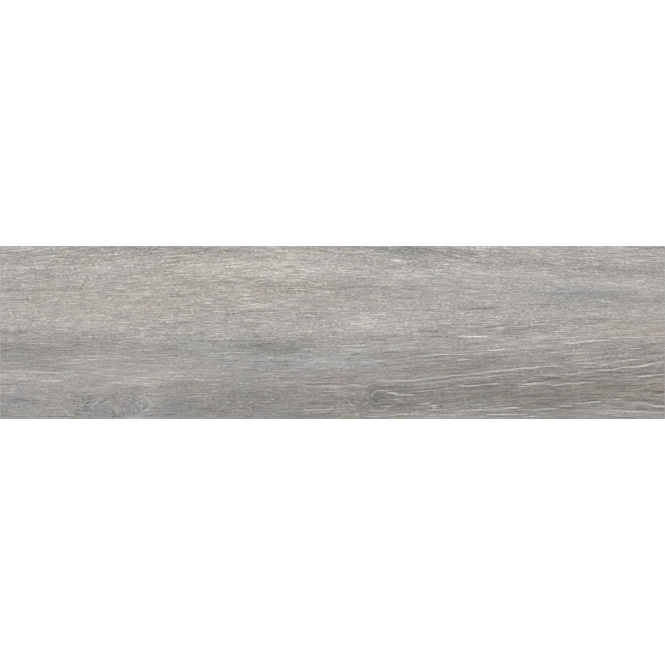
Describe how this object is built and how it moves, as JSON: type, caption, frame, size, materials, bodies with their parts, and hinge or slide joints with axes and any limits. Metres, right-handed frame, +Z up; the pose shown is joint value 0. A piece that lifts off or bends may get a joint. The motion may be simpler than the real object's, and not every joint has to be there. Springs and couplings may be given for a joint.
{
  "type": "wood-look floor tile",
  "caption": "Flat rectangular porcelain plank tile with a washed grey oak grain on its face, a fine bevel round the face and a keyed back for adhesive.",
  "frame": {"origin": "centre of the back, in the plane of the keying ribs that the tile lies on", "axes": "+X along the grain and the tile's length, +Y across the grain, +Z up out of the printed face"},
  "size_m": [0.6, 0.156, 0.009],
  "materials": {
    "porcelain": "matt glazed porcelain with a washed grey oak print"
  },
  "bodies": {
    "root": {"tile": "porcelain"}
  },
  "joints": []
}
